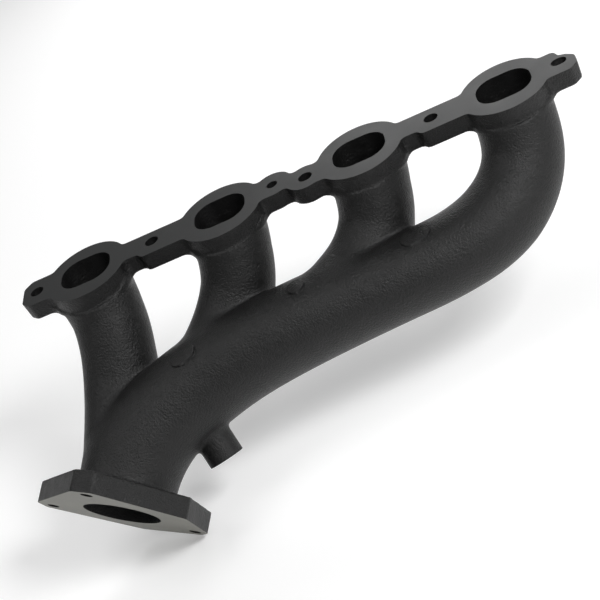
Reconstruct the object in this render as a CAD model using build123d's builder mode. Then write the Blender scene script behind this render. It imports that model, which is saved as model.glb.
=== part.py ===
from build123d import *
import os

os.makedirs("parts", exist_ok=True)

# Four-port exhaust manifold: one hollow iron casting, drawn as the regions that a
# pattern maker would name.  Units are millimetres.  The origin is the middle of
# the gasket face, midway between ports 2 and 3.  +Z leaves the gasket face towards
# the cylinder head, +X runs along the port line from port 1 to port 4, and the
# ducts hang below in -Z and curl towards -Y.

# Cylinder-head side: plate, port pads, webs and bosses
PORTS = (1, 2, 3, 4)
PORT_PITCH = 111.76
PORT_WIDTH = 41.1
PORT_HEIGHT = 35.0
PORT_CORNER = 15.0
FLANGE_THICKNESS = 14.0
PAD_RADIUS = 33.5
PAD_Y = -0.5
WEB_TOP = 13.4
WEB_BOTTOM = -15.9
NOTCH_TOP = -10.3
NOTCH_END = 46.0
NOTCHED_WEBS_AFTER = (1, 3)
BOSS_RADIUS = 15.0
BOSS_X = 13.0
BOSS_Y = 4.8
NECK_HALF = 8.55
REAR_WEB_TOP = 7.9
REAR_WEB_BOTTOM = -18.3
EAR_TOP = 16.4
EAR_BOTTOM = -16.2
EAR_END = 221.0
EAR_CHAMFER = 6.5
SLOT_EAR_TOP = 7.2
SLOT_EAR_STEP = 209.5
CORNER_RADIUS = 5.0
PAD_CUT = 31.0

# Head-bolt holes
BOLT_RADIUS = 5.4
MIDDLE_BOLT_X = 112.0
END_BOLT_X = 209.1
DOWEL_RADIUS = 4.35
SLOT_LENGTH = 11.6
SLOT_RADIUS = 4.7

# Walls and ducts
WALL = 5.5
COLLAR_SHARE = 0.2
RUNNER_4_SHARE = 0.07
TUBE_SECTIONS = 6
NEAR_ROUND = 0.02

# Outlet end
OUTLET_BORE_RADIUS = 28.575
OUTLET_THICKNESS = 16.0
OUTLET_CENTRE = Vector(-200.7, -128.9, -125.2)
OUTLET_NORMAL = Vector(-0.450, -0.771, -0.451).normalized()
OUTLET_LOBE = Vector(0.619, 0.096, -0.781)
OUTLET_BOLT_RADIUS = 4.5
OUTLET_BOLTS = [(58.0, 0.0), (-40.5, 38.5), (-40.5, -38.5)]
OUTLET_HALF_OUTLINE = [(-53.0, 39.0), (-41.5, 50.5), (33.5, 43.0), (66.0, 6.0)]
OUTLET_CORNER = 4.0

# Oxygen-sensor boss, its hole drawn at the tapping size of an M18 x 1.5 thread
SENSOR_FOOT = Vector(-130.0, -73.0, -90.5)
SENSOR_AXIS = Vector(0.173, -0.503, -0.847).normalized()
SENSOR_REACH = 54.0
SENSOR_RADIUS = 13.8
SENSOR_HOLE_RADIUS = 8.25

# Locating pads cast on the trunk: fraction along it, lean from +Z towards -Y in
# degrees, length along the trunk and width
PADS = {
    "locating_pad_1": (0.760, 14.0, 21.0, 13.0),
    "locating_pad_2": (0.556, 6.0, 13.2, 13.0),
    "locating_pad_3": (0.345, 10.0, 22.0, 13.0),
}
PAD_HEIGHT = 1.3
PAD_ROOT = 6.0

# Centreline stations, evenly spaced: x, y, z and outside radius.
# The trunk starts as runner 4 and ends at the outlet flange.
TRUNK_ROUTE = [
    (167.6, -4.5, -7.0, 28.9),
    (161.5, -18.5, -47.0, 29.3),
    (133.5, -42.0, -70.0, 30.3),
    (92.5, -54.0, -77.5, 29.9),
    (48.5, -57.0, -78.3, 30.6),
    (5.0, -58.5, -78.6, 31.7),
    (-39.0, -61.0, -79.5, 32.7),
    (-82.5, -64.0, -83.0, 33.7),
    (-125.5, -71.5, -89.7, 35.0),
    (-164.5, -88.5, -99.3, 36.0),
]
TRUNK_END_RADIUS = 36.4
RUNNER_ROUTES = {
    1: [
        (-167.6, -3.2, -7.0, 30.2),
        (-166.9, -13.5, -33.0, 28.0),
        (-170.6, -29.9, -57.8, 28.1),
        (-178.0, -47.4, -79.8, 29.0),
        (-184.3, -71.5, -94.8, 29.4),
        (-189.3, -98.3, -105.3, 29.7),
    ],
    2: [
        (-55.9, -3.2, -7.0, 30.2),
        (-58.7, -10.0, -29.5, 28.0),
        (-66.3, -18.6, -50.8, 27.7),
        (-78.5, -30.4, -67.5, 28.6),
        (-92.5, -46.6, -78.2, 29.3),
        (-106.6, -65.0, -84.3, 29.7),
    ],
    3: [
        (55.9, -3.2, -7.0, 30.2),
        (53.5, -9.3, -28.3, 28.0),
        (47.4, -16.8, -48.0, 27.7),
        (35.9, -27.9, -62.8, 28.7),
        (20.1, -40.6, -71.3, 29.3),
        (2.4, -53.3, -75.5, 29.7),
    ],
}
FLANGE_PIECES = [
    "end_ear_1",
    "port_pad_1",
    "web_1_2",
    "port_pad_2",
    "centre_web",
    "port_pad_3",
    "web_3_4",
    "port_pad_4",
    "end_ear_4",
]
START_DIRECTION = Vector(-0.04, -0.22, -1.0).normalized()
TRUNK_PIECES = {
    "runner_4": (RUNNER_4_SHARE, 0.305),
    "trunk_front": (0.305, 0.585),
    "trunk_rear": (0.585, 0.775),
    "collector": (0.775, 1.0),
}


def port_x(port):
    """Centre of a port along the port line, port 1 at the low end of X."""
    return (port - 2.5) * PORT_PITCH


def make_path(route, last_direction):
    """A smooth centreline through the stations of a route."""
    points = [Vector(x, y, z) for x, y, z, _ in route]
    with BuildLine() as line:
        Spline(*points, tangents=[START_DIRECTION, last_direction], tangent_scalars=[1, 1])
    return line.edge()


def radius_at(route, fraction):
    """Outside radius a given fraction of the way along evenly spaced stations."""
    place = min(fraction, 1.0) * (len(route) - 1)
    index = min(int(place), len(route) - 2)
    share = place - index
    return route[index][3] * (1 - share) + route[index + 1][3] * share


def cross_plane(path, fraction):
    """Plane square to a centreline, its x axis held as near +Y as it can be."""
    direction = path.tangent_at(fraction)
    sideways = Vector(0, 1, 0) - direction * direction.Y
    return Plane(origin=path.position_at(fraction), x_dir=sideways, z_dir=direction)


def tube(path, route, start, end, inset=0.0):
    """Round solid through circles square to the centreline, from start to end.

    With an inset it is the gas way, which never grows wider than the outlet bore.
    """
    with BuildPart() as body:
        for step in range(TUBE_SECTIONS):
            fraction = start + (end - start) * step / (TUBE_SECTIONS - 1)
            radius = radius_at(route, fraction)
            if inset:
                radius = min(radius - inset, OUTLET_BORE_RADIUS)
            with BuildSketch(cross_plane(path, fraction)):
                Circle(radius)
        loft()
    return body.part


def port_duct(path, route, port, end):
    """The gas way from the gasket face down to the round duct of a runner."""
    round_radius = radius_at(route, end) - WALL
    with BuildPart() as body:
        with BuildSketch(Plane.XY.offset(-FLANGE_THICKNESS)):
            with Locations((port_x(port), 0)):
                RectangleRounded(PORT_WIDTH, PORT_HEIGHT, PORT_CORNER)
        with BuildSketch(cross_plane(path, end)):
            RectangleRounded(2 * round_radius, 2 * round_radius, round_radius - NEAR_ROUND)
        loft()
        with BuildSketch(Plane.XY.offset(-FLANGE_THICKNESS)):
            with Locations((port_x(port), 0)):
                RectangleRounded(PORT_WIDTH, PORT_HEIGHT, PORT_CORNER)
        extrude(amount=FLANGE_THICKNESS + 1)
    return body.part


def write(piece, name):
    """Label a finished piece and write it out as one node."""
    piece.label = name
    export_step(piece, f"parts/{name}.step")


# Centrelines
trunk_stop = OUTLET_CENTRE - OUTLET_NORMAL * OUTLET_THICKNESS
TRUNK_ROUTE.append((trunk_stop.X, trunk_stop.Y, trunk_stop.Z, TRUNK_END_RADIUS))
trunk_path = make_path(TRUNK_ROUTE, OUTLET_NORMAL)
runner_paths = {}
for port, route in RUNNER_ROUTES.items():
    last_step = Vector(*route[-1][:3]) - Vector(*route[-2][:3])
    runner_paths[port] = make_path(route, last_step.normalized())

# Outside skins and gas ways, kept apart until they are combined below
trunk_skins = {}
trunk_ducts = {}
for name, (start, end) in TRUNK_PIECES.items():
    trunk_skins[name] = tube(trunk_path, TRUNK_ROUTE, start, end)
    trunk_ducts[name] = tube(trunk_path, TRUNK_ROUTE, start, end, WALL)

collar_skins = {4: tube(trunk_path, TRUNK_ROUTE, 0.0, RUNNER_4_SHARE)}
collar_ducts = {4: port_duct(trunk_path, TRUNK_ROUTE, 4, RUNNER_4_SHARE)}
runner_skins = {}
runner_ducts = {}
for port, route in RUNNER_ROUTES.items():
    path = runner_paths[port]
    collar_skins[port] = tube(path, route, 0.0, COLLAR_SHARE)
    collar_ducts[port] = port_duct(path, route, port, COLLAR_SHARE)
    runner_skins[port] = tube(path, route, COLLAR_SHARE, 1.0)
    runner_ducts[port] = tube(path, route, COLLAR_SHARE, 1.0, WALL)

# Head flange: four round port pads joined by webs, two staggered middle bosses,
# an ear with a round hole at port 1 and an ear with a slot at port 4
left_ear = [
    (port_x(1), EAR_TOP),
    (-EAR_END + EAR_CHAMFER, EAR_TOP),
    (-EAR_END, EAR_TOP - EAR_CHAMFER),
    (-EAR_END, EAR_BOTTOM + EAR_CHAMFER),
    (-EAR_END + EAR_CHAMFER, EAR_BOTTOM),
    (port_x(1), EAR_BOTTOM),
]
right_ear = [
    (port_x(4), EAR_BOTTOM),
    (EAR_END - EAR_CHAMFER, EAR_BOTTOM),
    (EAR_END, EAR_BOTTOM + EAR_CHAMFER),
    (EAR_END, SLOT_EAR_TOP - EAR_CHAMFER),
    (EAR_END - EAR_CHAMFER, SLOT_EAR_TOP),
    (SLOT_EAR_STEP, SLOT_EAR_TOP),
    (SLOT_EAR_STEP, EAR_TOP),
    (port_x(4), EAR_TOP),
]
with BuildPart() as head_flange:
    with BuildSketch() as plate:
        with Locations(*[(port_x(port), PAD_Y) for port in PORTS]):
            Circle(PAD_RADIUS)
        for port in NOTCHED_WEBS_AFTER:
            middle_x = port_x(port) + PORT_PITCH / 2
            with Locations((middle_x, (WEB_TOP + WEB_BOTTOM) / 2)):
                Rectangle(PORT_PITCH, WEB_TOP - WEB_BOTTOM)
            with Locations((port_x(port) + NOTCH_END, NOTCH_TOP)):
                Rectangle(NOTCH_END, PAD_RADIUS, align=(Align.MAX, Align.MAX), mode=Mode.SUBTRACT)
            with Locations((port_x(port), PAD_Y)):
                Circle(PAD_RADIUS)
        with Locations((-BOSS_X, BOSS_Y), (BOSS_X, -BOSS_Y)):
            Circle(BOSS_RADIUS)
        with Locations((-BOSS_X, NOTCH_TOP)):
            Rectangle(NOTCH_END, WEB_TOP - NOTCH_TOP, align=(Align.MAX, Align.MIN))
        Rectangle(2 * BOSS_X, 2 * NECK_HALF)
        with Locations((BOSS_X, REAR_WEB_TOP)):
            Rectangle(NOTCH_END, REAR_WEB_TOP - REAR_WEB_BOTTOM, align=(Align.MIN, Align.MAX))
        for ear in (left_ear, right_ear):
            with BuildLine():
                Polyline(*ear, close=True)
            make_face()
        offset(amount=CORNER_RADIUS, kind=Kind.ARC, mode=Mode.REPLACE)
        offset(amount=-2 * CORNER_RADIUS, kind=Kind.ARC, mode=Mode.REPLACE)
        offset(amount=CORNER_RADIUS, kind=Kind.ARC, mode=Mode.REPLACE)
    extrude(amount=-FLANGE_THICKNESS)
    with BuildSketch() as holes:
        with Locations((-MIDDLE_BOLT_X, 0), (MIDDLE_BOLT_X, 0), (BOSS_X, -BOSS_Y), (-END_BOLT_X, 0)):
            Circle(BOLT_RADIUS)
        with Locations((-BOSS_X, BOSS_Y)):
            Circle(DOWEL_RADIUS)
        with Locations((END_BOLT_X, 0)):
            SlotOverall(SLOT_LENGTH, 2 * SLOT_RADIUS)
        with Locations(*[(port_x(port), 0) for port in PORTS]):
            RectangleRounded(PORT_WIDTH, PORT_HEIGHT, PORT_CORNER)
    extrude(amount=-FLANGE_THICKNESS, mode=Mode.SUBTRACT)

# The flange is drawn whole and divided square to the port line into its named regions
flange_edges = [-EAR_END]
for port in PORTS:
    flange_edges += [port_x(port) - PAD_CUT, port_x(port) + PAD_CUT]
flange_edges.append(EAR_END)
for name, start, end in zip(FLANGE_PIECES, flange_edges, flange_edges[1:]):
    with BuildPart() as region:
        add(head_flange.part)
        with Locations(((start + end) / 2, 0, 0)):
            Box(end - start, 3 * PAD_RADIUS, 3 * FLANGE_THICKNESS, mode=Mode.INTERSECT)
    write(region.part, name)

# Port collars: the flared tops of the runners, under the back of the pads
for port in PORTS:
    with BuildPart() as collar:
        add(collar_skins[port])
        split(bisect_by=Plane.XY.offset(-FLANGE_THICKNESS), keep=Keep.BOTTOM)
        add(collar_ducts[port], mode=Mode.SUBTRACT)
    write(collar.part, f"port_collar_{port}")

# Runners 1 to 3 end on the outside of the trunk
for port in RUNNER_ROUTES:
    with BuildPart() as runner:
        add(runner_skins[port])
        for skin in trunk_skins.values():
            add(skin, mode=Mode.SUBTRACT)
        add(runner_ducts[port], mode=Mode.SUBTRACT)
    write(runner.part, f"runner_{port}")

# The sensor hole runs from outside the boss right into the trunk
sensor_plane = Plane(origin=SENSOR_FOOT, z_dir=SENSOR_AXIS)
with BuildPart() as sensor_hole:
    with BuildSketch(sensor_plane):
        Circle(SENSOR_HOLE_RADIUS)
    extrude(amount=SENSOR_REACH + 1)

# Runner 4 and the trunk, opened where the other runners and the sensor come in
for name in TRUNK_PIECES:
    with BuildPart() as section:
        add(trunk_skins[name])
        add(trunk_ducts[name], mode=Mode.SUBTRACT)
        if name != "runner_4":
            for duct in runner_ducts.values():
                add(duct, mode=Mode.SUBTRACT)
            add(sensor_hole.part, mode=Mode.SUBTRACT)
    write(section.part, name)

# Outlet flange: a three-bolt plate, symmetric about the line to its single lobe
outlet_plane = Plane(origin=OUTLET_CENTRE, x_dir=OUTLET_LOBE, z_dir=OUTLET_NORMAL)
outline = OUTLET_HALF_OUTLINE + [(x, -y) for x, y in reversed(OUTLET_HALF_OUTLINE)]
with BuildPart() as outlet_flange:
    with BuildSketch(outlet_plane):
        with BuildLine():
            Polyline(*outline, close=True)
        make_face()
        offset(amount=-OUTLET_CORNER, kind=Kind.ARC, mode=Mode.REPLACE)
        offset(amount=OUTLET_CORNER, kind=Kind.ARC, mode=Mode.REPLACE)
        Circle(OUTLET_BORE_RADIUS, mode=Mode.SUBTRACT)
        with Locations(*OUTLET_BOLTS):
            Circle(OUTLET_BOLT_RADIUS, mode=Mode.SUBTRACT)
    extrude(amount=-OUTLET_THICKNESS)
write(outlet_flange.part, "outlet_flange")

# Sensor boss on the far side of the trunk
with BuildPart() as sensor_boss:
    with BuildSketch(sensor_plane):
        Circle(SENSOR_RADIUS)
    extrude(amount=SENSOR_REACH)
    for skin in trunk_skins.values():
        add(skin, mode=Mode.SUBTRACT)
    add(sensor_hole.part, mode=Mode.SUBTRACT)
write(sensor_boss.part, "sensor_boss")

# Locating pads: flat-topped round-ended pads standing a little proud of the trunk
for name, (fraction, lean, length, width) in PADS.items():
    along = trunk_path.tangent_at(fraction)
    outwards = Vector(0, 0, 1).rotate(Axis.X, lean)
    outwards = (outwards - along * outwards.dot(along)).normalized()
    reach = radius_at(TRUNK_ROUTE, fraction) + PAD_HEIGHT
    top = trunk_path.position_at(fraction) + outwards * reach
    with BuildPart() as pad:
        with BuildSketch(Plane(origin=top, x_dir=along, z_dir=outwards)):
            SlotOverall(length, width)
        extrude(amount=-PAD_ROOT)
        for skin in trunk_skins.values():
            add(skin, mode=Mode.SUBTRACT)
    write(pad.part, name)
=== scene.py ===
import itertools

import bpy
import numpy as np
from mathutils import Matrix, Vector
from mathutils.geometry import tessellate_polygon


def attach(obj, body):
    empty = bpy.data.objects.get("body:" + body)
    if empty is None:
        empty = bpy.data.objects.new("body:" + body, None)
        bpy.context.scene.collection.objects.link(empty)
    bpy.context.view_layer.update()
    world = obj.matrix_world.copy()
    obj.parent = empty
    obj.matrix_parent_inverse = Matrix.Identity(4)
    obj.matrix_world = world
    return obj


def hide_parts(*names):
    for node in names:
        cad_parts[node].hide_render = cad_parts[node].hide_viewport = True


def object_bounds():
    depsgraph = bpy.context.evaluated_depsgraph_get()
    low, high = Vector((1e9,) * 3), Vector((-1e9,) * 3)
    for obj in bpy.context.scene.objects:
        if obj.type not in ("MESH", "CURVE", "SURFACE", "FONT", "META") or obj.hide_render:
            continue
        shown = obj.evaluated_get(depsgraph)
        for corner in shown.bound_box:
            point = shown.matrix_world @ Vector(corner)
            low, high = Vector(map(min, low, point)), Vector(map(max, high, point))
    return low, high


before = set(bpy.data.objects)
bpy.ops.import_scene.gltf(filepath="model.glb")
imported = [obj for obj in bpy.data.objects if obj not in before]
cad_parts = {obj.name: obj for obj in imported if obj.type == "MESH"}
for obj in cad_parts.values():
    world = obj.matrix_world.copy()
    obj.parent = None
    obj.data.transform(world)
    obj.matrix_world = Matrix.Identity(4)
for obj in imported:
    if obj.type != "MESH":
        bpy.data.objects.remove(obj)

CAD_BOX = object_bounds()

# The casting is worked out as one distance field, in millimetres, on a regular grid.
# Its zero surface is then cut into the named regions of the CAD model, so each piece
# is a closed mesh and no seam shows between two of them.  MM turns lengths into metres.
MM = 0.001
STEP = 1.25
# How far out a field is kept, and the room left around the CAD model's box
BAND = 9.0
MARGIN = 8.0

# Head flange: its outline and its holes are read from the CAD regions that share it.
# A hole longer than PORT_LEAST is a port.  The flange's side leans in by DRAFT for each
# millimetre of depth, and its back edge is rounded by BACK_EDGE.  The tubes end SHOULDER
# inside its back face, and its piece is cut from them FLANGE_CUT behind that face.
PORT_PITCH = 111.76
PORTS = (1, 2, 3, 4)
PORT_LEAST = 30.0
THICKNESS = 14.0
FLANGE_NODES = [
    "end_ear_1",
    "port_pad_1",
    "web_1_2",
    "port_pad_2",
    "centre_web",
    "port_pad_3",
    "web_3_4",
    "port_pad_4",
    "end_ear_4",
]
DRAFT = 0.05
SHOULDER = 0.6
BACK_EDGE = 0.5
FLANGE_CUT = 1.5

# Outlet flange, drawn about its bore with x towards the single lobe.  A hole is its x, y
# and radius.
OUTLET_CENTRE = np.array([-200.7, -128.9, -125.2])
OUTLET_NORMAL = np.array([-0.450, -0.771, -0.451])
OUTLET_LOBE = np.array([0.619, 0.096, -0.781])
OUTLET_THICKNESS = 16.0
OUTLET_BORE = 28.575
OUTLET_HOLES = [(58.0, 0.0, 4.5), (-40.5, 38.5, 4.5), (-40.5, -38.5, 4.5)]
OUTLET_HALF_OUTLINE = [(-53.0, 39.0), (-41.5, 50.5), (33.5, 43.0), (66.0, 6.0)]
OUTLET_CORNER = 4.0
OUTLET_CUT = 1.5

# Oxygen-sensor boss: it leaves the trunk at its foot.  SENSOR_NEAR bounds its outer end,
# and SENSOR_STANDOFF is where its piece starts, above the trunk's skin.
SENSOR_FOOT = np.array([-130.0, -73.0, -90.5])
SENSOR_AXIS = np.array([0.173, -0.503, -0.847])
SENSOR_REACH = 54.0
SENSOR_RADIUS = 13.8
SENSOR_HOLE = 8.25
SENSOR_FILLET = 3.0
SENSOR_STANDOFF = 3.0
SENSOR_NEAR = 24.0

# Blends where skins meet.  The one under the flange is tight for SHOULDER_HALF to either
# side of each port, and grows to WEB_BLEND over the next SHOULDER_FADE.
TUBE_BLEND = 3.5
WEB_BLEND = 9.0
SHOULDER_BLEND = 1.2
SHOULDER_HALF = 20.0
SHOULDER_FADE = 10.0
OUTLET_BLEND = 4.0

# Tubes: stations of the centrelines with outside radii, as in the CAD model
WALL = 5.5
TRUNK = [
    (167.6, -4.5, -7.0, 28.9),
    (161.5, -18.5, -47.0, 29.3),
    (133.5, -42.0, -70.0, 30.3),
    (92.5, -54.0, -77.5, 29.9),
    (48.5, -57.0, -78.3, 30.6),
    (5.0, -58.5, -78.6, 31.7),
    (-39.0, -61.0, -79.5, 32.7),
    (-82.5, -64.0, -83.0, 33.7),
    (-125.5, -71.5, -89.7, 35.0),
    (-164.5, -88.5, -99.3, 36.0),
]
TRUNK_END_RADIUS = 36.4
RUNNERS = {
    1: [
        (-167.6, -3.2, -7.0, 30.2),
        (-166.9, -13.5, -33.0, 28.0),
        (-170.6, -29.9, -57.8, 28.1),
        (-178.0, -47.4, -79.8, 29.0),
        (-184.3, -71.5, -94.8, 29.4),
        (-189.3, -98.3, -105.3, 29.7),
    ],
    2: [
        (-55.9, -3.2, -7.0, 30.2),
        (-58.7, -10.0, -29.5, 28.0),
        (-66.3, -18.6, -50.8, 27.7),
        (-78.5, -30.4, -67.5, 28.6),
        (-92.5, -46.6, -78.2, 29.3),
        (-106.6, -65.0, -84.3, 29.7),
    ],
    3: [
        (55.9, -3.2, -7.0, 30.2),
        (53.5, -9.3, -28.3, 28.0),
        (47.4, -16.8, -48.0, 27.7),
        (35.9, -27.9, -62.8, 28.7),
        (20.1, -40.6, -71.3, 29.3),
        (2.4, -53.3, -75.5, 29.7),
    ],
}
START_DIRECTION = (-0.04, -0.22, -1.0)
TRUNK_SAMPLES = 140
RUNNER_SAMPLES = 50

# Locating pads: fraction along the trunk, lean from +Z towards -Y, length and width
PADS = {
    "locating_pad_1": (0.760, 14.0, 21.0, 13.0),
    "locating_pad_2": (0.556, 6.0, 13.2, 13.0),
    "locating_pad_3": (0.345, 10.0, 22.0, 13.0),
}
# The pads stand 0.6 mm taller here than in the CAD model, so that their step can be seen
PAD_HEIGHT = 1.9
# Corners of each rounded end
PAD_CORNERS = 24
# Rings of a pad from its foot to its top: how far in from the outline, and how far up
# from the trunk's skin, or from the pad's top where the last value is True
PAD_RINGS = [
    (-0.5, -2.5, False),
    (-0.5, -0.1, False),
    (-0.1, 0.1, False),
    (0.0, 0.3, False),
    (0.0, -0.35, True),
    (0.1, -0.1, True),
    (0.35, 0.0, True),
]

# Gas ways: the depth over which a port's mouth turns into its round duct, the blend where
# ducts meet, and how far a bolt hole runs on behind its plate
PORT_MORPH = 18.0
WAY_BLEND = 4.0
HOLE_RUN = 3.0

# Working of the surface: passes that settle it, spline points for each sample of a tube,
# digits that match corners of two CAD regions, the least divisor, how far off the gasket
# face a corner may lie, the share of a step within which a cut takes a vertex, and the
# depth below the skin from which a wall counts as interior
SETTLE_STEPS = 3
OVERSAMPLE = 6
MATCH_DIGITS = 2
SMALL = 1e-3
FLAT = 0.01
SNAP = 0.12
INSIDE = 1.0

# Places of the three materials on each piece, and the owners that are not yet pieces
CAST, MACHINED, INTERIOR = 0, 1, 2
BODY = "body"
WASTE = "waste"

# Where pieces end, as fractions of the way along a runner and along the trunk
COLLAR_SHARE = 0.2
TRUNK_CUTS = {
    "port_collar_4": 0.07,
    "runner_4": 0.305,
    "trunk_front": 0.585,
    "trunk_rear": 0.775,
}


def unit(vector):
    """A vector's direction."""
    vector = np.asarray(vector, float)
    return vector / np.linalg.norm(vector)


def clamped_spline(points, first, last, count):
    """Points along a smooth curve through the stations, parametrised by chord length."""
    points = np.asarray(points, float)
    gaps = np.linalg.norm(np.diff(points, axis=0), axis=1)
    knots = np.concatenate([[0.0], np.cumsum(gaps)])
    size = len(points)
    matrix = np.eye(size)
    right = np.zeros((size, 3))
    right[0], right[-1] = first, last
    for i in range(1, size - 1):
        matrix[i, i - 1 : i + 2] = 1 / gaps[i - 1], 2 / gaps[i - 1] + 2 / gaps[i], 1 / gaps[i]
        right[i] = 3 * (points[i] - points[i - 1]) / gaps[i - 1] ** 2
        right[i] += 3 * (points[i + 1] - points[i]) / gaps[i] ** 2
    slopes = np.linalg.solve(matrix, right)
    places = np.linspace(0.0, knots[-1], count)
    index = np.clip(np.searchsorted(knots, places, side="right") - 1, 0, size - 2)
    gap = gaps[index][:, None]
    t = (places[:, None] - knots[index][:, None]) / gap
    return (
        (1 + 2 * t) * (1 - t) ** 2 * points[index]
        + t * (1 - t) ** 2 * gap * slopes[index]
        + t**2 * (3 - 2 * t) * points[index + 1]
        + t**2 * (t - 1) * gap * slopes[index + 1]
    )


class Tube:
    """A centreline with a radius at every sample, and its start and end directions."""

    def __init__(self, stations, last, count):
        places = [station[:3] for station in stations]
        rough = clamped_spline(places, unit(START_DIRECTION), unit(last), OVERSAMPLE * count)
        gone = np.concatenate([[0], np.cumsum(np.linalg.norm(np.diff(rough, axis=0), axis=1))])
        even = np.linspace(0, gone[-1], count)
        self.line = np.stack([np.interp(even, gone, values) for values in rough.T], axis=1)
        spread = np.linspace(0, len(stations) - 1, count)
        self.radii = np.interp(spread, range(len(stations)), [station[3] for station in stations])
        self.directions = np.gradient(self.line, axis=0)
        self.directions /= np.linalg.norm(self.directions, axis=1)[:, None]

    def at(self, fraction):
        """Place and direction a fraction of the way along."""
        index = round(fraction * (len(self.line) - 1))
        return self.line[index], self.directions[index]


outlet_normal = unit(OUTLET_NORMAL)
outlet_lobe = unit(OUTLET_LOBE - outlet_normal * (OUTLET_LOBE @ outlet_normal))
outlet_side = np.cross(outlet_normal, outlet_lobe)
sensor_axis = unit(SENSOR_AXIS)
trunk_stop = OUTLET_CENTRE - outlet_normal * OUTLET_THICKNESS
trunk_tube = Tube(TRUNK + [(*trunk_stop, TRUNK_END_RADIUS)], outlet_normal, TRUNK_SAMPLES)
runner_tubes = {
    port: Tube(route, np.subtract(route[-1][:3], route[-2][:3]), RUNNER_SAMPLES)
    for port, route in RUNNERS.items()
}


def port_x(port):
    """Centre of a port along the port line."""
    return (port - sum(PORTS) / len(PORTS)) * PORT_PITCH


# The grid that every field is worked out on
low = np.array([v / MM for v in CAD_BOX[0]]) - MARGIN
high = np.array([v / MM for v in CAD_BOX[1]]) + MARGIN
AXES = [np.arange(a, b + STEP, STEP, dtype=np.float32) for a, b in zip(low, high)]
SHAPE = tuple(len(axis) for axis in AXES)
ORIGIN = np.array([axis[0] for axis in AXES])


def window(centre_low, centre_high):
    """Slices of the grid that cover a box, and the box's coordinates ready to broadcast."""
    slices = []
    places = []
    for axis, values in enumerate(AXES):
        start = np.searchsorted(values, centre_low[axis])
        stop = np.searchsorted(values, centre_high[axis])
        slices.append(slice(start, stop))
        shape = [1, 1, 1]
        shape[axis] = -1
        places.append(values[start:stop].reshape(shape))
    return tuple(slices), places


def grid():
    """The whole grid's coordinates, ready to broadcast."""
    return [axis.reshape(s) for axis, s in zip(AXES, ((-1, 1, 1), (1, -1, 1), (1, 1, -1)))]


def tube_field(tube, inset=0.0, widest=np.inf):
    """Distance to a tube's skin, or to its gas way with an inset."""
    field = np.full(SHAPE, 2 * BAND, np.float32)
    radii = np.minimum(tube.radii - inset, widest)
    for a, b, ra, rb in zip(tube.line, tube.line[1:], radii, radii[1:]):
        reach = max(ra, rb) + BAND
        slices, (x, y, z) = window(np.minimum(a, b) - reach, np.maximum(a, b) + reach)
        run = b - a
        span = run @ run
        t = ((x - a[0]) * run[0] + (y - a[1]) * run[1] + (z - a[2]) * run[2]) / span
        t = np.clip(t, 0, 1)
        square = (x - a[0] - t * run[0]) ** 2
        square = square + (y - a[1] - t * run[1]) ** 2 + (z - a[2] - t * run[2]) ** 2
        distance = np.sqrt(square) - (ra + t * (rb - ra))
        field[slices] = np.minimum(field[slices], distance)
    return field


def soft_union(a, b, blend):
    """Union with a valley of about that width filled in."""
    overlap = np.maximum(blend - np.abs(a - b), 0) / blend
    return np.minimum(a, b) - overlap * overlap * blend / 4


def round_union(a, b, radius):
    """Union with a circular fillet where two surfaces meet square."""
    corner = np.hypot(np.maximum(radius - a, 0), np.maximum(radius - b, 0))
    return np.maximum(radius, np.minimum(a, b)) - corner


def ease(share):
    """A share from 0 to 1, made to start and stop gently."""
    return share * share * (3 - 2 * share)


def face_outlines():
    """Closed outlines of the gasket face, the outer one first, and the rest along X."""
    edges = set()
    for node in FLANGE_NODES:
        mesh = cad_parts[node].data
        for polygon in mesh.polygons:
            corners = [mesh.vertices[i].co / MM for i in polygon.vertices]
            if max(abs(corner.z) for corner in corners) < FLAT:
                keys = [(round(x, MATCH_DIGITS), round(y, MATCH_DIGITS)) for x, y, _ in corners]
                for edge in zip(keys, keys[1:] + keys[:1]):
                    if edge[::-1] in edges:
                        edges.remove(edge[::-1])
                    else:
                        edges.add(edge)
    following = dict(sorted(edges))
    outlines = []
    while following:
        start, at = following.popitem()
        outline = [start]
        while at != start:
            outline.append(at)
            at = following.pop(at)
        outlines.append(np.array(outline))
    lengths = [np.ptp(outline[:, 0]) for outline in outlines]
    outer = outlines.pop(int(np.argmax(lengths)))
    return [outer] + sorted(outlines, key=lambda outline: outline[:, 0].mean())


def outline_field(outline, x, y):
    """Flat distance to a closed outline, below zero inside it."""
    nearest = np.full(np.broadcast(x, y).shape, np.inf)
    inside = np.zeros(nearest.shape, bool)
    for a, b in zip(outline, np.roll(outline, -1, axis=0)):
        run = b - a
        t = np.clip(((x - a[0]) * run[0] + (y - a[1]) * run[1]) / (run @ run), 0, 1)
        nearest = np.minimum(nearest, (x - a[0] - t * run[0]) ** 2 + (y - a[1] - t * run[1]) ** 2)
        if run[1]:
            inside ^= ((a[1] > y) != (b[1] > y)) & (x < a[0] + (y - a[1]) / run[1] * run[0])
    return np.where(inside, -1, 1) * np.sqrt(nearest)


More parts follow.
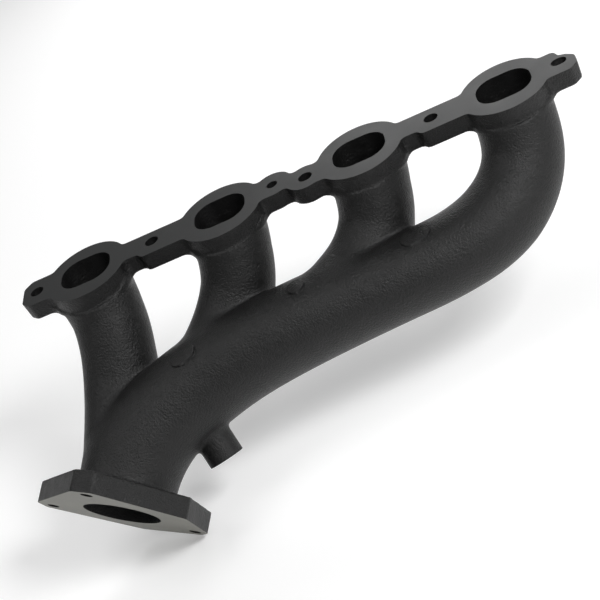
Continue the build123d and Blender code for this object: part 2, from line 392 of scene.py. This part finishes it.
def convex_field(points, x, y, radius):
    """Flat distance to a convex outline, given anticlockwise, with rounded corners."""
    points = np.asarray(points, float)
    sides = np.roll(points, -1, axis=0) - points
    lengths = np.linalg.norm(sides, axis=1)
    normals = np.stack([sides[:, 1], -sides[:, 0]], axis=1) / lengths[:, None]
    offsets = (normals * points).sum(axis=1) - radius
    corners = []
    for i in range(len(points)):
        pair = normals[[i - 1, i]]
        corners.append(np.linalg.solve(pair, offsets[[i - 1, i]]))
    inner = np.array(corners)
    nearest = np.full(np.broadcast(x, y).shape, np.inf)
    depth = np.full(np.broadcast(x, y).shape, -np.inf)
    for i, start in enumerate(inner):
        run = inner[(i + 1) % len(inner)] - start
        t = ((x - start[0]) * run[0] + (y - start[1]) * run[1]) / (run @ run)
        t = np.clip(t, 0, 1)
        square = (x - start[0] - t * run[0]) ** 2 + (y - start[1] - t * run[1]) ** 2
        nearest = np.minimum(nearest, square)
        depth = np.maximum(depth, x * normals[i, 0] + y * normals[i, 1] - offsets[i])
    return np.where(depth > 0, np.sqrt(nearest), np.maximum(depth, -np.sqrt(nearest))) - radius


def plate_field(flat, depth, back, edge):
    """A flat outline given thickness: depth grows into the plate, and ends at back."""
    side = flat + edge
    behind = depth - back + edge
    outside = np.hypot(np.maximum(side, 0), np.maximum(behind, 0))
    return outside + np.minimum(np.maximum(side, behind), 0) - edge


def outlet_frame(x, y, z):
    """Coordinates about the outlet bore: along the lobe, across it, and out of the face."""
    offset = [x - OUTLET_CENTRE[0], y - OUTLET_CENTRE[1], z - OUTLET_CENTRE[2]]
    axes = (outlet_lobe, outlet_side, outlet_normal)
    return [sum(o * float(c) for o, c in zip(offset, axis)) for axis in axes]


def sensor_frame(x, y, z):
    """Distance from the sensor boss's axis, and height along it."""
    offset = [x - SENSOR_FOOT[0], y - SENSOR_FOOT[1], z - SENSOR_FOOT[2]]
    height = sum(o * float(c) for o, c in zip(offset, sensor_axis))
    square = sum(o * o for o in offset)
    return np.sqrt(np.maximum(square - height * height, 0)), height


def port_way(tube, outline):
    """The gas way of one port: its rounded rectangle turning into the round duct below."""
    round_duct = tube_field(tube, WALL, OUTLET_BORE)
    x, y, z = grid()
    mouth = np.minimum(outline_field(outline, x, y), BAND)
    share = ease(np.clip((-THICKNESS - z) / PORT_MORPH, 0, 1))
    way = mouth * (1 - share) + round_duct * share
    return np.where(z > -THICKNESS - PORT_MORPH, way, round_duct).astype(np.float32)


def build_fields():
    """Every field that the casting is made from, and the finished solid."""
    x, y, z = grid()
    fields = {"trunk": tube_field(trunk_tube)}
    skin = fields["trunk"]
    for port, tube in runner_tubes.items():
        fields[f"runner_{port}"] = tube_field(tube)
        skin = soft_union(skin, fields[f"runner_{port}"], TUBE_BLEND)
    radius, height = sensor_frame(x, y, z)
    boss = np.maximum(radius - SENSOR_RADIUS, -height)
    skin = round_union(skin, np.minimum(boss, BAND), SENSOR_FILLET)
    outer, *holes = face_outlines()
    mouths = [hole for hole in holes if np.ptp(hole[:, 0]) > PORT_LEAST]
    drafted = outline_field(outer, x, y) - DRAFT * np.minimum(z, 0)
    plate = plate_field(drafted, -z, THICKNESS, BACK_EDGE)
    from_port = np.minimum.reduce([np.abs(x - port_x(port)) for port in PORTS])
    share = ease(np.clip((from_port - SHOULDER_HALF) / SHOULDER_FADE, 0, 1))
    blend = SHOULDER_BLEND + (WEB_BLEND - SHOULDER_BLEND) * share
    skin = np.maximum(skin, z + THICKNESS - SHOULDER)
    skin = soft_union(skin, np.minimum(plate, BAND), blend)
    lobe, side, out = outlet_frame(x, y, z)
    mirrored = [(a, -b) for a, b in OUTLET_HALF_OUTLINE]
    outline = convex_field(mirrored + OUTLET_HALF_OUTLINE[::-1], lobe, side, OUTLET_CORNER)
    plate = plate_field(outline, -out, OUTLET_THICKNESS, BACK_EDGE)
    skin = soft_union(skin, np.minimum(plate, BAND), OUTLET_BLEND)
    fields["skin"] = skin.astype(np.float32)

    ways = port_way(trunk_tube, mouths[-1])
    for tube, mouth in zip(runner_tubes.values(), mouths):
        ways = soft_union(ways, port_way(tube, mouth), WAY_BLEND)
    bore = np.maximum(np.hypot(lobe, side) - OUTLET_BORE, -out - OUTLET_THICKNESS - BAND)
    ways = np.minimum(ways, bore)
    ways = np.minimum(ways, np.maximum(radius - SENSOR_HOLE, -height))
    for hole in holes:
        if np.ptp(hole[:, 0]) < PORT_LEAST:
            bolt = np.maximum(outline_field(hole, x, y), -z - THICKNESS - HOLE_RUN)
            ways = np.minimum(ways, bolt)
    for hole_x, hole_y, hole_radius in OUTLET_HOLES:
        hole = np.hypot(lobe - hole_x, side - hole_y) - hole_radius
        ways = np.minimum(ways, np.maximum(hole, -out - OUTLET_THICKNESS - HOLE_RUN))
    solid = np.maximum(skin, -ways).astype(np.float32)
    for axis in range(3):
        for edge in (0, -1):
            solid[tuple(edge if i == axis else slice(None) for i in range(3))] = BAND
    fields["solid"] = solid
    return fields


def sample(field, places):
    """A field's value at places, from the eight grid points around each."""
    at = (places - ORIGIN) / STEP
    cell = np.clip(np.floor(at).astype(int), 0, np.array(SHAPE) - 2)
    share = at - cell
    total = np.zeros(len(places) if field.ndim == 3 else (len(places), field.shape[3]))
    for corner in itertools.product((0, 1), repeat=3):
        weight = np.prod(np.where(corner, share, 1 - share), axis=1)
        values = field[tuple((cell + corner).T)]
        total += weight * values if field.ndim == 3 else weight[:, None] * values
    return total


def surface_net(field):
    """Triangles on a field's zero surface, one vertex for each cell that it passes through."""
    inside = field < 0
    cells = tuple(n - 1 for n in SHAPE)
    count = np.zeros(cells, np.int8)
    for corner in itertools.product((0, 1), repeat=3):
        count += inside[tuple(slice(c, c + n) for c, n in zip(corner, cells))]
    active = np.argwhere((count > 0) & (count < 8))
    number = np.full(cells, -1, np.int32)
    number[tuple(active.T)] = np.arange(len(active))
    total = np.zeros((len(active), 3))
    crossings = np.zeros(len(active))
    for axis in range(3):
        others = [i for i in range(3) if i != axis]
        for pair in itertools.product((0, 1), repeat=2):
            start = np.zeros(3, int)
            start[others] = pair
            stop = start.copy()
            stop[axis] = 1
            a = field[tuple((active + start).T)]
            b = field[tuple((active + stop).T)]
            crossed = (a < 0) != (b < 0)
            t = np.where(crossed, a / np.where(crossed, a - b, 1), 0)
            place = start + t[:, None] * (stop - start)
            total += place * crossed[:, None]
            crossings += crossed
    points = ORIGIN + STEP * (active + total / crossings[:, None])

    quads = []
    for axis in range(3):
        u, v = (axis + 1) % 3, (axis + 2) % 3
        a = inside[tuple(slice(0, -1) if i == axis else slice(None) for i in range(3))]
        b = inside[tuple(slice(1, None) if i == axis else slice(None) for i in range(3))]
        for edges, flip in ((np.argwhere(a & ~b), False), (np.argwhere(~a & b), True)):
            around = []
            for back_u, back_v in ((1, 1), (0, 1), (0, 0), (1, 0)):
                cell = edges.copy()
                cell[:, u] -= back_u
                cell[:, v] -= back_v
                around.append(number[tuple(cell.T)])
            quads.append(np.stack(around[::-1] if flip else around, axis=1))
    quads = np.concatenate(quads)
    first = np.linalg.norm(points[quads[:, 0]] - points[quads[:, 2]], axis=1)
    second = np.linalg.norm(points[quads[:, 1]] - points[quads[:, 3]], axis=1)
    split = np.where((first < second)[:, None], [[0, 1, 2, 0, 2, 3]], [[1, 2, 3, 1, 3, 0]])
    triangles = np.take_along_axis(quads, split, axis=1).reshape(-1, 3)
    return points, triangles


def settle(field, slope, points):
    """Points moved along the slope onto the field's zero surface."""
    for _ in range(SETTLE_STEPS):
        way = sample(slope, points)
        square = np.maximum((way * way).sum(axis=1), SMALL)
        points = points - way * (sample(field, points) / square)[:, None]
    return points


class Surface:
    """The casting's skin as triangles.  Each triangle has an owner, the piece that it
    goes to, and each vertex made by a cut knows which cut that was."""

    def __init__(self, points, triangles):
        self.points = points
        self.triangles = triangles
        self.owner = np.full(len(triangles), BODY, object)
        self.cut_of = np.full(len(points), -1)
        self.cuts = 0

    def divide(self, owner, values, new_owner, normal=None, near=None):
        """Gives what lies below zero of values, within one owner, to a new owner.

        A flat cut states its normal, and vertices close to it are moved onto it."""
        chosen = self.owner == owner
        if near is not None:
            chosen &= near(self.points[self.triangles].mean(axis=1))
        mine = self.triangles[chosen]
        used = np.unique(mine)
        value = np.zeros(len(self.points))
        value[used] = values(self.points[used])
        close = used[np.abs(value[used]) < SNAP * STEP]
        if normal is not None:
            self.points[close] -= value[close][:, None] * normal
        value[close] = 0
        self.cut_of[close] = self.cuts

        side = np.sign(value[mine]).astype(int)
        after, before = np.roll(side, -1, axis=1), np.roll(side, 1, axis=1)
        crossings = (side * after < 0).sum(axis=1)
        whole, whole_side = mine[crossings == 0], side[crossings == 0].sum(axis=1)
        alone = side * after + side * before == -2
        twice, twice_side = turned(mine, side, crossings == 2, alone)
        once, once_side = turned(mine, side, crossings == 1, side == 0)
        edges = np.concatenate([twice[:, [0, 1]], twice[:, [0, 2]], once[:, [1, 2]]])
        edges, back = np.unique(np.sort(edges, axis=1), axis=0, return_inverse=True)
        a, b = edges.T
        t = (value[a] / (value[a] - value[b]))[:, None]
        made = len(self.points) + back.reshape(-1)
        self.points = np.concatenate([self.points, self.points[a] * (1 - t) + self.points[b] * t])
        self.cut_of = np.concatenate([self.cut_of, np.full(len(edges), self.cuts)])

        first, second, middle = np.split(made, [len(twice), 2 * len(twice)])
        a, b, c = twice.T
        d, e, f = once.T
        parts = [
            (whole, whole_side),
            (np.stack([a, first, second], axis=1), twice_side[:, 0]),
            (np.stack([first, b, c], axis=1), twice_side[:, 1]),
            (np.stack([first, c, second], axis=1), twice_side[:, 1]),
            (np.stack([d, e, middle], axis=1), once_side[:, 1]),
            (np.stack([d, middle, f], axis=1), once_side[:, 2]),
        ]
        below = np.concatenate([part_side for _, part_side in parts]) < 0
        self.triangles = np.concatenate([self.triangles[~chosen]] + [part for part, _ in parts])
        owners = np.where(below, new_owner, owner)
        self.owner = np.concatenate([self.owner[~chosen], owners.astype(object)])
        self.cuts += 1

    def loops(self, owner):
        """The open edges of one owner's triangles, as loops of vertices for each cut."""
        mine = self.triangles[self.owner == owner]
        edges = np.concatenate([mine[:, [0, 1]], mine[:, [1, 2]], mine[:, [2, 0]]]).astype(np.int64)
        key = edges[:, 0] * len(self.points) + edges[:, 1]
        other = edges[:, 1] * len(self.points) + edges[:, 0]
        following = dict(edges[~np.isin(key, other)].tolist())
        found = {}
        while following:
            start, at = following.popitem()
            loop = [start]
            while at != start:
                loop.append(at)
                at = following.pop(at)
            cuts, votes = np.unique(self.cut_of[loop], return_counts=True)
            found.setdefault(int(cuts[votes.argmax()]), []).append(loop)
        return found


def turned(triangles, side, rows, leads):
    """The chosen triangles and their signs, turned so that the marked corner leads."""
    lead = np.argmax(leads[rows], axis=1)
    order = (lead[:, None] + np.arange(3)) % 3
    return (
        np.take_along_axis(triangles[rows], order, axis=1),
        np.take_along_axis(side[rows], order, axis=1),
    )


def cap(points, loops):
    """Triangles that close loops lying more or less in one plane.  A loop within another
    is a hole in it."""
    corners = np.concatenate(loops)
    middle = points[corners].mean(axis=0)
    flat = np.linalg.svd(points[corners] - middle, full_matrices=False)[2][:2]
    shapes = [(points[loop] - middle) @ flat.T for loop in loops]
    lows = [shape.min(axis=0) for shape in shapes]
    highs = [shape.max(axis=0) for shape in shapes]
    order = sorted(range(len(loops)), key=lambda i: -np.prod(highs[i] - lows[i]))
    groups = []
    for i in order:
        for group in groups:
            outer = group[0]
            if (lows[outer] < lows[i]).all() and (highs[i] < highs[outer]).all():
                group.append(i)
                break
        else:
            groups.append([i])
    made = []
    for group in groups:
        outlines = [[Vector((*place, 0)) for place in shapes[i]] for i in group]
        numbers = np.concatenate([loops[i] for i in group])
        made.append(numbers[np.array(tessellate_polygon(outlines))])
    made = np.concatenate(made)
    open_edges = {(a, b) for loop in loops for a, b in zip(loop, loop[1:] + loop[:1])}
    same = sum((a, b) in open_edges for t in made.tolist() for a, b in zip(t, t[1:] + t[:1]))
    return made[:, ::-1] if same else made


fields = build_fields()
slope = np.stack(np.gradient(fields["solid"], STEP), axis=-1)
points, triangles = surface_net(fields["solid"])
surface = Surface(settle(fields["solid"], slope, points), triangles)


def plane_cut(centre, direction):
    """Signed distance from a plane, and the plane's normal, as divide takes them."""
    return {"values": lambda at: (at - centre) @ direction, "normal": direction}


def nearer(runner):
    """Below zero where a runner's skin is nearer than the trunk's."""
    return lambda at: sample(fields[runner], at) - np.minimum(sample(fields["trunk"], at), BAND)


def near_sensor(at):
    """True around the outer end of the sensor boss."""
    radius, height = sensor_frame(*at.T)
    return (radius < SENSOR_NEAR) & (height > SENSOR_NEAR)


UP = np.array([0.0, 0.0, 1.0])
sensor_end = SENSOR_FOOT + sensor_axis * SENSOR_REACH
flange_back = -UP * (THICKNESS + FLANGE_CUT)
outlet_back = OUTLET_CENTRE - outlet_normal * (OUTLET_THICKNESS + OUTLET_CUT)
surface.divide(BODY, new_owner=WASTE, **plane_cut(np.zeros(3), -UP))
surface.divide(BODY, new_owner=WASTE, **plane_cut(OUTLET_CENTRE, -outlet_normal))
surface.divide(BODY, new_owner=WASTE, near=near_sensor, **plane_cut(sensor_end, -sensor_axis))
machined_cuts = range(surface.cuts)
surface.divide(BODY, new_owner="head_flange", **plane_cut(flange_back, -UP))
surface.divide(BODY, new_owner="outlet_flange", **plane_cut(outlet_back, -outlet_normal))
surface.divide(
    BODY,
    lambda at: SENSOR_STANDOFF - sample(fields["trunk"], at),
    "sensor_boss",
    near=near_sensor,
)
for port, tube in runner_tubes.items():
    runner = f"runner_{port}"
    surface.divide(BODY, nearer(runner), runner)
    surface.divide(runner, new_owner=f"port_collar_{port}", **plane_cut(*tube.at(COLLAR_SHARE)))
for piece, end in TRUNK_CUTS.items():
    surface.divide(BODY, new_owner=piece, **plane_cut(*trunk_tube.at(end)))
surface.owner[surface.owner == BODY] = "collector"
vertex_normals = sample(slope, surface.points)
vertex_normals /= np.maximum(np.linalg.norm(vertex_normals, axis=1), SMALL)[:, None]


# Camera: it stands where the photographer did, in front of the manifold and above it,
# towards port 4.  Place in millimetres; lens and sensor width in camera millimetres.
CAMERA_PLACE = np.array([187.62, -958.90, 517.28])
CAMERA_RIGHT = np.array([0.90321725, -0.06131977, -0.42478051])
CAMERA_UP = np.array([0.38320165, 0.56093238, 0.73383333])
CAMERA_LENS = 91.305
CAMERA_SENSOR = 36.0


def add_camera():
    camera = bpy.data.objects.new("camera", bpy.data.cameras.new("camera"))
    camera.data.lens = CAMERA_LENS
    camera.data.sensor_width = CAMERA_SENSOR
    right = unit(CAMERA_RIGHT)
    up = unit(CAMERA_UP - right * (CAMERA_UP @ right))
    turn = Matrix(np.stack([right, up, np.cross(right, up)], axis=1).tolist()).to_4x4()
    camera.matrix_world = Matrix.Translation(Vector(CAMERA_PLACE * MM)) @ turn
    bpy.context.scene.collection.objects.link(camera)
    bpy.context.scene.camera = camera


def make_mesh(name, points, triangles, normals, materials, material_of):
    """A mesh object in metres from triangles in millimetres.  Normals, if given, are one
    for each corner of each triangle."""
    mesh = bpy.data.meshes.new(name)
    used, triangles = np.unique(triangles, return_inverse=True)
    triangles = triangles.reshape(-1, 3)
    mesh.vertices.add(len(used))
    mesh.vertices.foreach_set("co", (points[used] * MM).astype(np.float32).ravel())
    mesh.loops.add(triangles.size)
    mesh.loops.foreach_set("vertex_index", triangles.astype(np.int32).ravel())
    mesh.polygons.add(len(triangles))
    mesh.polygons.foreach_set("loop_start", np.arange(0, triangles.size, 3, dtype=np.int32))
    mesh.polygons.foreach_set("material_index", material_of.astype(np.int32))
    for material in materials:
        mesh.materials.append(material)
    mesh.update(calc_edges=True)
    mesh.polygons.foreach_set("use_smooth", np.ones(len(triangles), bool))
    if normals is not None:
        mesh.normals_split_custom_set(normals.reshape(-1, 3))
    piece = bpy.data.objects.new(name, mesh)
    bpy.context.scene.collection.objects.link(piece)
    return piece


def flat_normals(points, triangles):
    """Each triangle's own normal."""
    corners = points[triangles]
    cross = np.cross(corners[:, 1] - corners[:, 0], corners[:, 2] - corners[:, 0])
    return cross / np.maximum(np.linalg.norm(cross, axis=1), SMALL**3)[:, None]


def make_piece(name, nodes, materials):
    """One closed region of the casting, standing for its CAD nodes."""
    skin = surface.triangles[surface.owner == name]
    parts = [skin]
    normals = [vertex_normals[skin].reshape(-1, 3, 3)]
    # Walls deep inside take the interior material, whose darker shade is painted shade
    inside = sample(fields["skin"], surface.points[skin].mean(axis=1)) < -INSIDE
    kinds = [np.where(inside, INTERIOR, CAST)]
    for cut, loops in surface.loops(name).items():
        lid = cap(surface.points, loops)
        lid_normals = flat_normals(surface.points, lid)
        parts.append(lid)
        normals.append(np.repeat(lid_normals[:, None], 3, axis=1))
        kinds.append(np.full(len(lid), MACHINED if cut in machined_cuts else INTERIOR))
    piece = make_mesh(
        name,
        surface.points,
        np.concatenate(parts),
        np.concatenate(normals),
        materials,
        np.concatenate(kinds),
    )
    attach(piece, "root")
    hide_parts(*nodes)
    return piece


def make_pad(name, fraction, lean, length, width, material):
    """A locating pad: a round-ended plateau with a filleted foot and softened top edge."""
    centre, along = trunk_tube.at(fraction)
    tube_radius = trunk_tube.radii[round(fraction * (len(trunk_tube.radii) - 1))]
    outwards = np.array([0.0, -np.sin(np.radians(lean)), np.cos(np.radians(lean))])
    outwards = unit(outwards - along * (outwards @ along))
    across = np.cross(outwards, along)
    angles = np.linspace(-np.pi / 2, np.pi / 2, PAD_CORNERS)
    angles = np.concatenate([angles, angles + np.pi])
    points = []
    for inset, height, from_top in PAD_RINGS:
        reach = width / 2 - inset
        u = np.sign(np.cos(angles)) * (length - width) / 2 + reach * np.cos(angles)
        v = reach * np.sin(angles)
        foot = np.sqrt(tube_radius**2 - v**2)
        base = tube_radius + PAD_HEIGHT if from_top else foot
        up = base + height + 0 * u
        points.append(centre + np.outer(u, along) + np.outer(v, across) + np.outer(up, outwards))
    ring = len(angles)
    points += [points[0].mean(axis=0)[None], points[-1].mean(axis=0)[None]]
    points = np.concatenate(points)
    here = np.arange(ring)
    ahead = np.roll(here, -1)
    triangles = [np.stack([ahead, here, 0 * here + len(points) - 2], axis=1)]
    for level in range(len(PAD_RINGS) - 1):
        a, b = level * ring + here, level * ring + ahead
        triangles.append(np.stack([a, b, b + ring], axis=1))
        triangles.append(np.stack([a, b + ring, a + ring], axis=1))
    last = (len(PAD_RINGS) - 1) * ring
    triangles.append(np.stack([last + here, last + ahead, 0 * here + len(points) - 1], axis=1))
    triangles = np.concatenate(triangles)
    piece = make_mesh(name, points, triangles, None, [material], np.zeros(len(triangles)))
    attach(piece, "root")
    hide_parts(name)


def shader(name, colour, roughness, specular):
    """A material with a Principled shader whose plain numbers sit on its own sockets."""
    material = bpy.data.materials.new(name)
    material.use_nodes = True
    nodes = material.node_tree.nodes
    principled = nodes["Principled BSDF"]
    principled.inputs["Base Color"].default_value = (*colour, 1)
    principled.inputs["Roughness"].default_value = roughness
    principled.inputs["Specular IOR Level"].default_value = specular
    return material, nodes, material.node_tree.links, principled


def noise(nodes, links, place, scale, detail, rough=0.5):
    """A noise pattern in the piece's own coordinates.  Scale is in bumps a metre."""
    node = nodes.new("ShaderNodeTexNoise")
    node.inputs["Scale"].default_value = scale
    node.inputs["Detail"].default_value = detail
    node.inputs["Roughness"].default_value = rough
    links.new(place.outputs["Object"], node.inputs["Vector"])
    return node.outputs["Fac"]


def ramp(nodes, links, value, stops):
    """A colour ramp from stops, each a place and a colour."""
    node = nodes.new("ShaderNodeValToRGB")
    elements = node.color_ramp.elements
    while len(elements) < len(stops):
        elements.new(1.0)
    for element, (place, colour) in zip(elements, stops):
        element.position = place
        element.color = (*colour, 1)
    links.new(value, node.inputs["Fac"])
    return node.outputs["Color"]


def bump(nodes, links, height, distance, below=None):
    """A bump of that depth in metres, on top of another."""
    node = nodes.new("ShaderNodeBump")
    node.inputs["Distance"].default_value = distance
    node.inputs["Strength"].default_value = 1.0
    links.new(height, node.inputs["Height"])
    if below is not None:
        links.new(below, node.inputs["Normal"])
    return node.outputs["Normal"]


# Patterns: bumps a metre, levels of detail and, where it isn't even, their roughness
WAVES = (40, 2)
PATCHES = (110, 4, 0.6)
SAND = (700, 2, 0.55)
DUST = (2200, 2)
CLOUDS = (30, 4, 0.6)
MILL_GRAIN = (2500, 2)

# Depths of the bumps in metres, and the dust's depth as a share of the sand's
WAVE_DEPTH = 0.0012
SAND_DEPTH = 0.0008
INNER_SAND_DEPTH = 0.0006
DUST_SHARE = 0.25
MILL_DEPTH = 0.00003

# Surfaces: specular level, then what a pattern runs between: the darkest and lightest
# share of the shade, and the least and greatest roughness
CAST_SURFACE = (0.42, (0.75, 1.3), (0.40, 0.50))
MILLED_SURFACE = (0.22, (0.85, 1.15), (0.42, 0.52))
TINT_PLACES = (0.30, 0.70)
ROUGHNESS_PLACES = (0.25, 0.75)

CAST_SHADE = (0.0045, 0.0045, 0.0045)
# Inside the ducts the casting is a little darker than outside: painted shade
INNER_PAINTED_SHADE = (0.004, 0.004, 0.004)
MILLED_DARK_SHADE = (0.0095, 0.010, 0.010)
# The outlet face's shade is painted light: a far lighter copy of the milled finish, for the light
# that falls on that face
MILLED_PAINTED_LIGHT_SHADE = (0.19, 0.187, 0.165)


def mottled(name, shade, surface_look, pattern):
    """A material whose tint and roughness follow a pattern, before it has any bump."""
    specular, tints, roughnesses = surface_look
    material, nodes, links, principled = shader(name, shade, sum(roughnesses) / 2, specular)
    place = nodes.new("ShaderNodeTexCoord")
    cloud = noise(nodes, links, place, *pattern)
    shades = [tuple(tint * channel for channel in shade) for tint in tints]
    tint = ramp(nodes, links, cloud, list(zip(TINT_PLACES, shades)))
    links.new(tint, principled.inputs["Base Color"])
    greys = [(roughness,) * 3 for roughness in roughnesses]
    rough = ramp(nodes, links, cloud, list(zip(ROUGHNESS_PLACES, greys)))
    links.new(rough, principled.inputs["Roughness"])
    return material, nodes, links, principled, place


def cast_material(name, shade, sand_depth):
    """Sand-cast iron under black coating: fine grain, low waves, patches of sheen."""
    material, nodes, links, principled, place = mottled(name, shade, CAST_SURFACE, PATCHES)
    waves = bump(nodes, links, noise(nodes, links, place, *WAVES), WAVE_DEPTH)
    sand = bump(nodes, links, noise(nodes, links, place, *SAND), sand_depth, waves)
    dust = noise(nodes, links, place, *DUST)
    grain = bump(nodes, links, dust, sand_depth * DUST_SHARE, sand)
    links.new(grain, principled.inputs["Normal"])
    return material


def machined_material(name, shade):
    """A milled face under a thin black coat, with a very fine grain and a dull even sheen; a much
    lighter shade gives a painted-light copy.
    """
    material, nodes, links, principled, place = mottled(name, shade, MILLED_SURFACE, CLOUDS)
    grain = bump(nodes, links, noise(nodes, links, place, *MILL_GRAIN), MILL_DEPTH)
    links.new(grain, principled.inputs["Normal"])
    return material


cast_black = cast_material("cast_black", CAST_SHADE, SAND_DEPTH)
milled_dark = machined_material("milled_dark", MILLED_DARK_SHADE)
# Painted light: the outlet face's milled finish, made much lighter than the gasket face's
milled_painted_light = machined_material("milled_painted_light", MILLED_PAINTED_LIGHT_SHADE)
# Painted shade: the duct walls' copy of the casting, darker than the outside
inner_black_painted_shade = cast_material("inner_black_painted_shade", INNER_PAINTED_SHADE, INNER_SAND_DEPTH)

SKINS = [cast_black, milled_dark, inner_black_painted_shade]
# The outlet flange takes the painted-light copy of the milled finish
OUTLET_SKINS_PAINTED_LIGHT = [cast_black, milled_painted_light, inner_black_painted_shade]
make_piece("head_flange", FLANGE_NODES, SKINS)
make_piece("outlet_flange", ["outlet_flange"], OUTLET_SKINS_PAINTED_LIGHT)
make_piece("sensor_boss", ["sensor_boss"], SKINS)
black_pieces = [f"port_collar_{port}" for port in PORTS] + [f"runner_{port}" for port in PORTS]
for name in black_pieces + ["trunk_front", "trunk_rear", "collector"]:
    make_piece(name, [name], SKINS)
for name, pad in PADS.items():
    make_pad(name, *pad, cast_black)


# Soft boxes around a target, in metres: how far right, up and towards the camera each
# stands, then its size and its power in watts
LIGHT_TARGET = (0.0, -0.06, -0.06)
LIGHTS = {
    "key": (0.35, 0.6, 1.1, 0.4, 12),
    "front": (-0.1, 0.3, 1.3, 1.2, 2),
    "left": (-1.1, 0.5, 0.6, 0.8, 6),
    "behind_right": (-0.1, 1.2, -0.65, 0.9, 9),
    "behind_left": (-0.9, 1.1, -0.7, 0.9, 1.8),
}
WORLD_STRENGTH = 0.1

# Floor: a white sheet just under the manifold.  A slight glow keeps it near white.
FLOOR_HALF = 6
FLOOR_GAP = 0.0005
FLOOR_SHADE = (0.9, 0.9, 0.9)
FLOOR_ROUGHNESS = 0.9
FLOOR_SPECULAR = 0.1
FLOOR_GLOW = 0.18
WHITE = (1, 1, 1, 1)


def add_light(name, right, up, towards, size, power):
    """A square soft box, placed by how far right, up and towards the camera it stands."""
    light = bpy.data.lights.new(name, "AREA")
    light.shape = "SQUARE"
    light.size = size
    light.energy = power
    holder = bpy.data.objects.new(name, light)
    axes = [unit(CAMERA_RIGHT), unit(CAMERA_UP), np.cross(unit(CAMERA_RIGHT), unit(CAMERA_UP))]
    way = Vector(sum(share * axis for share, axis in zip((right, up, towards), axes)))
    holder.location = Vector(LIGHT_TARGET) + way
    holder.rotation_euler = way.to_track_quat("Z", "Y").to_euler()
    bpy.context.scene.collection.objects.link(holder)


def add_floor():
    mesh = bpy.data.meshes.new("floor")
    height = CAD_BOX[0][2] - FLOOR_GAP
    signs = [(-1, -1), (1, -1), (1, 1), (-1, 1)]
    corners = [(FLOOR_HALF * right, FLOOR_HALF * ahead, height) for right, ahead in signs]
    mesh.from_pydata(corners, [], [(0, 1, 2, 3)])
    look = ("floor_white", FLOOR_SHADE, FLOOR_ROUGHNESS, FLOOR_SPECULAR)
    material, _, _, principled = shader(*look)
    principled.inputs["Emission Color"].default_value = WHITE
    principled.inputs["Emission Strength"].default_value = FLOOR_GLOW
    mesh.materials.append(material)
    floor = bpy.data.objects.new("floor", mesh)
    bpy.context.scene.collection.objects.link(floor)


def set_world():
    world = bpy.data.worlds.new("studio")
    world.use_nodes = True
    background = world.node_tree.nodes["Background"]
    background.inputs["Color"].default_value = WHITE
    background.inputs["Strength"].default_value = WORLD_STRENGTH
    bpy.context.scene.world = world
    bpy.context.scene.view_settings.view_transform = "Standard"


add_camera()
add_floor()
set_world()
for name, soft_box in LIGHTS.items():
    add_light(name, *soft_box)
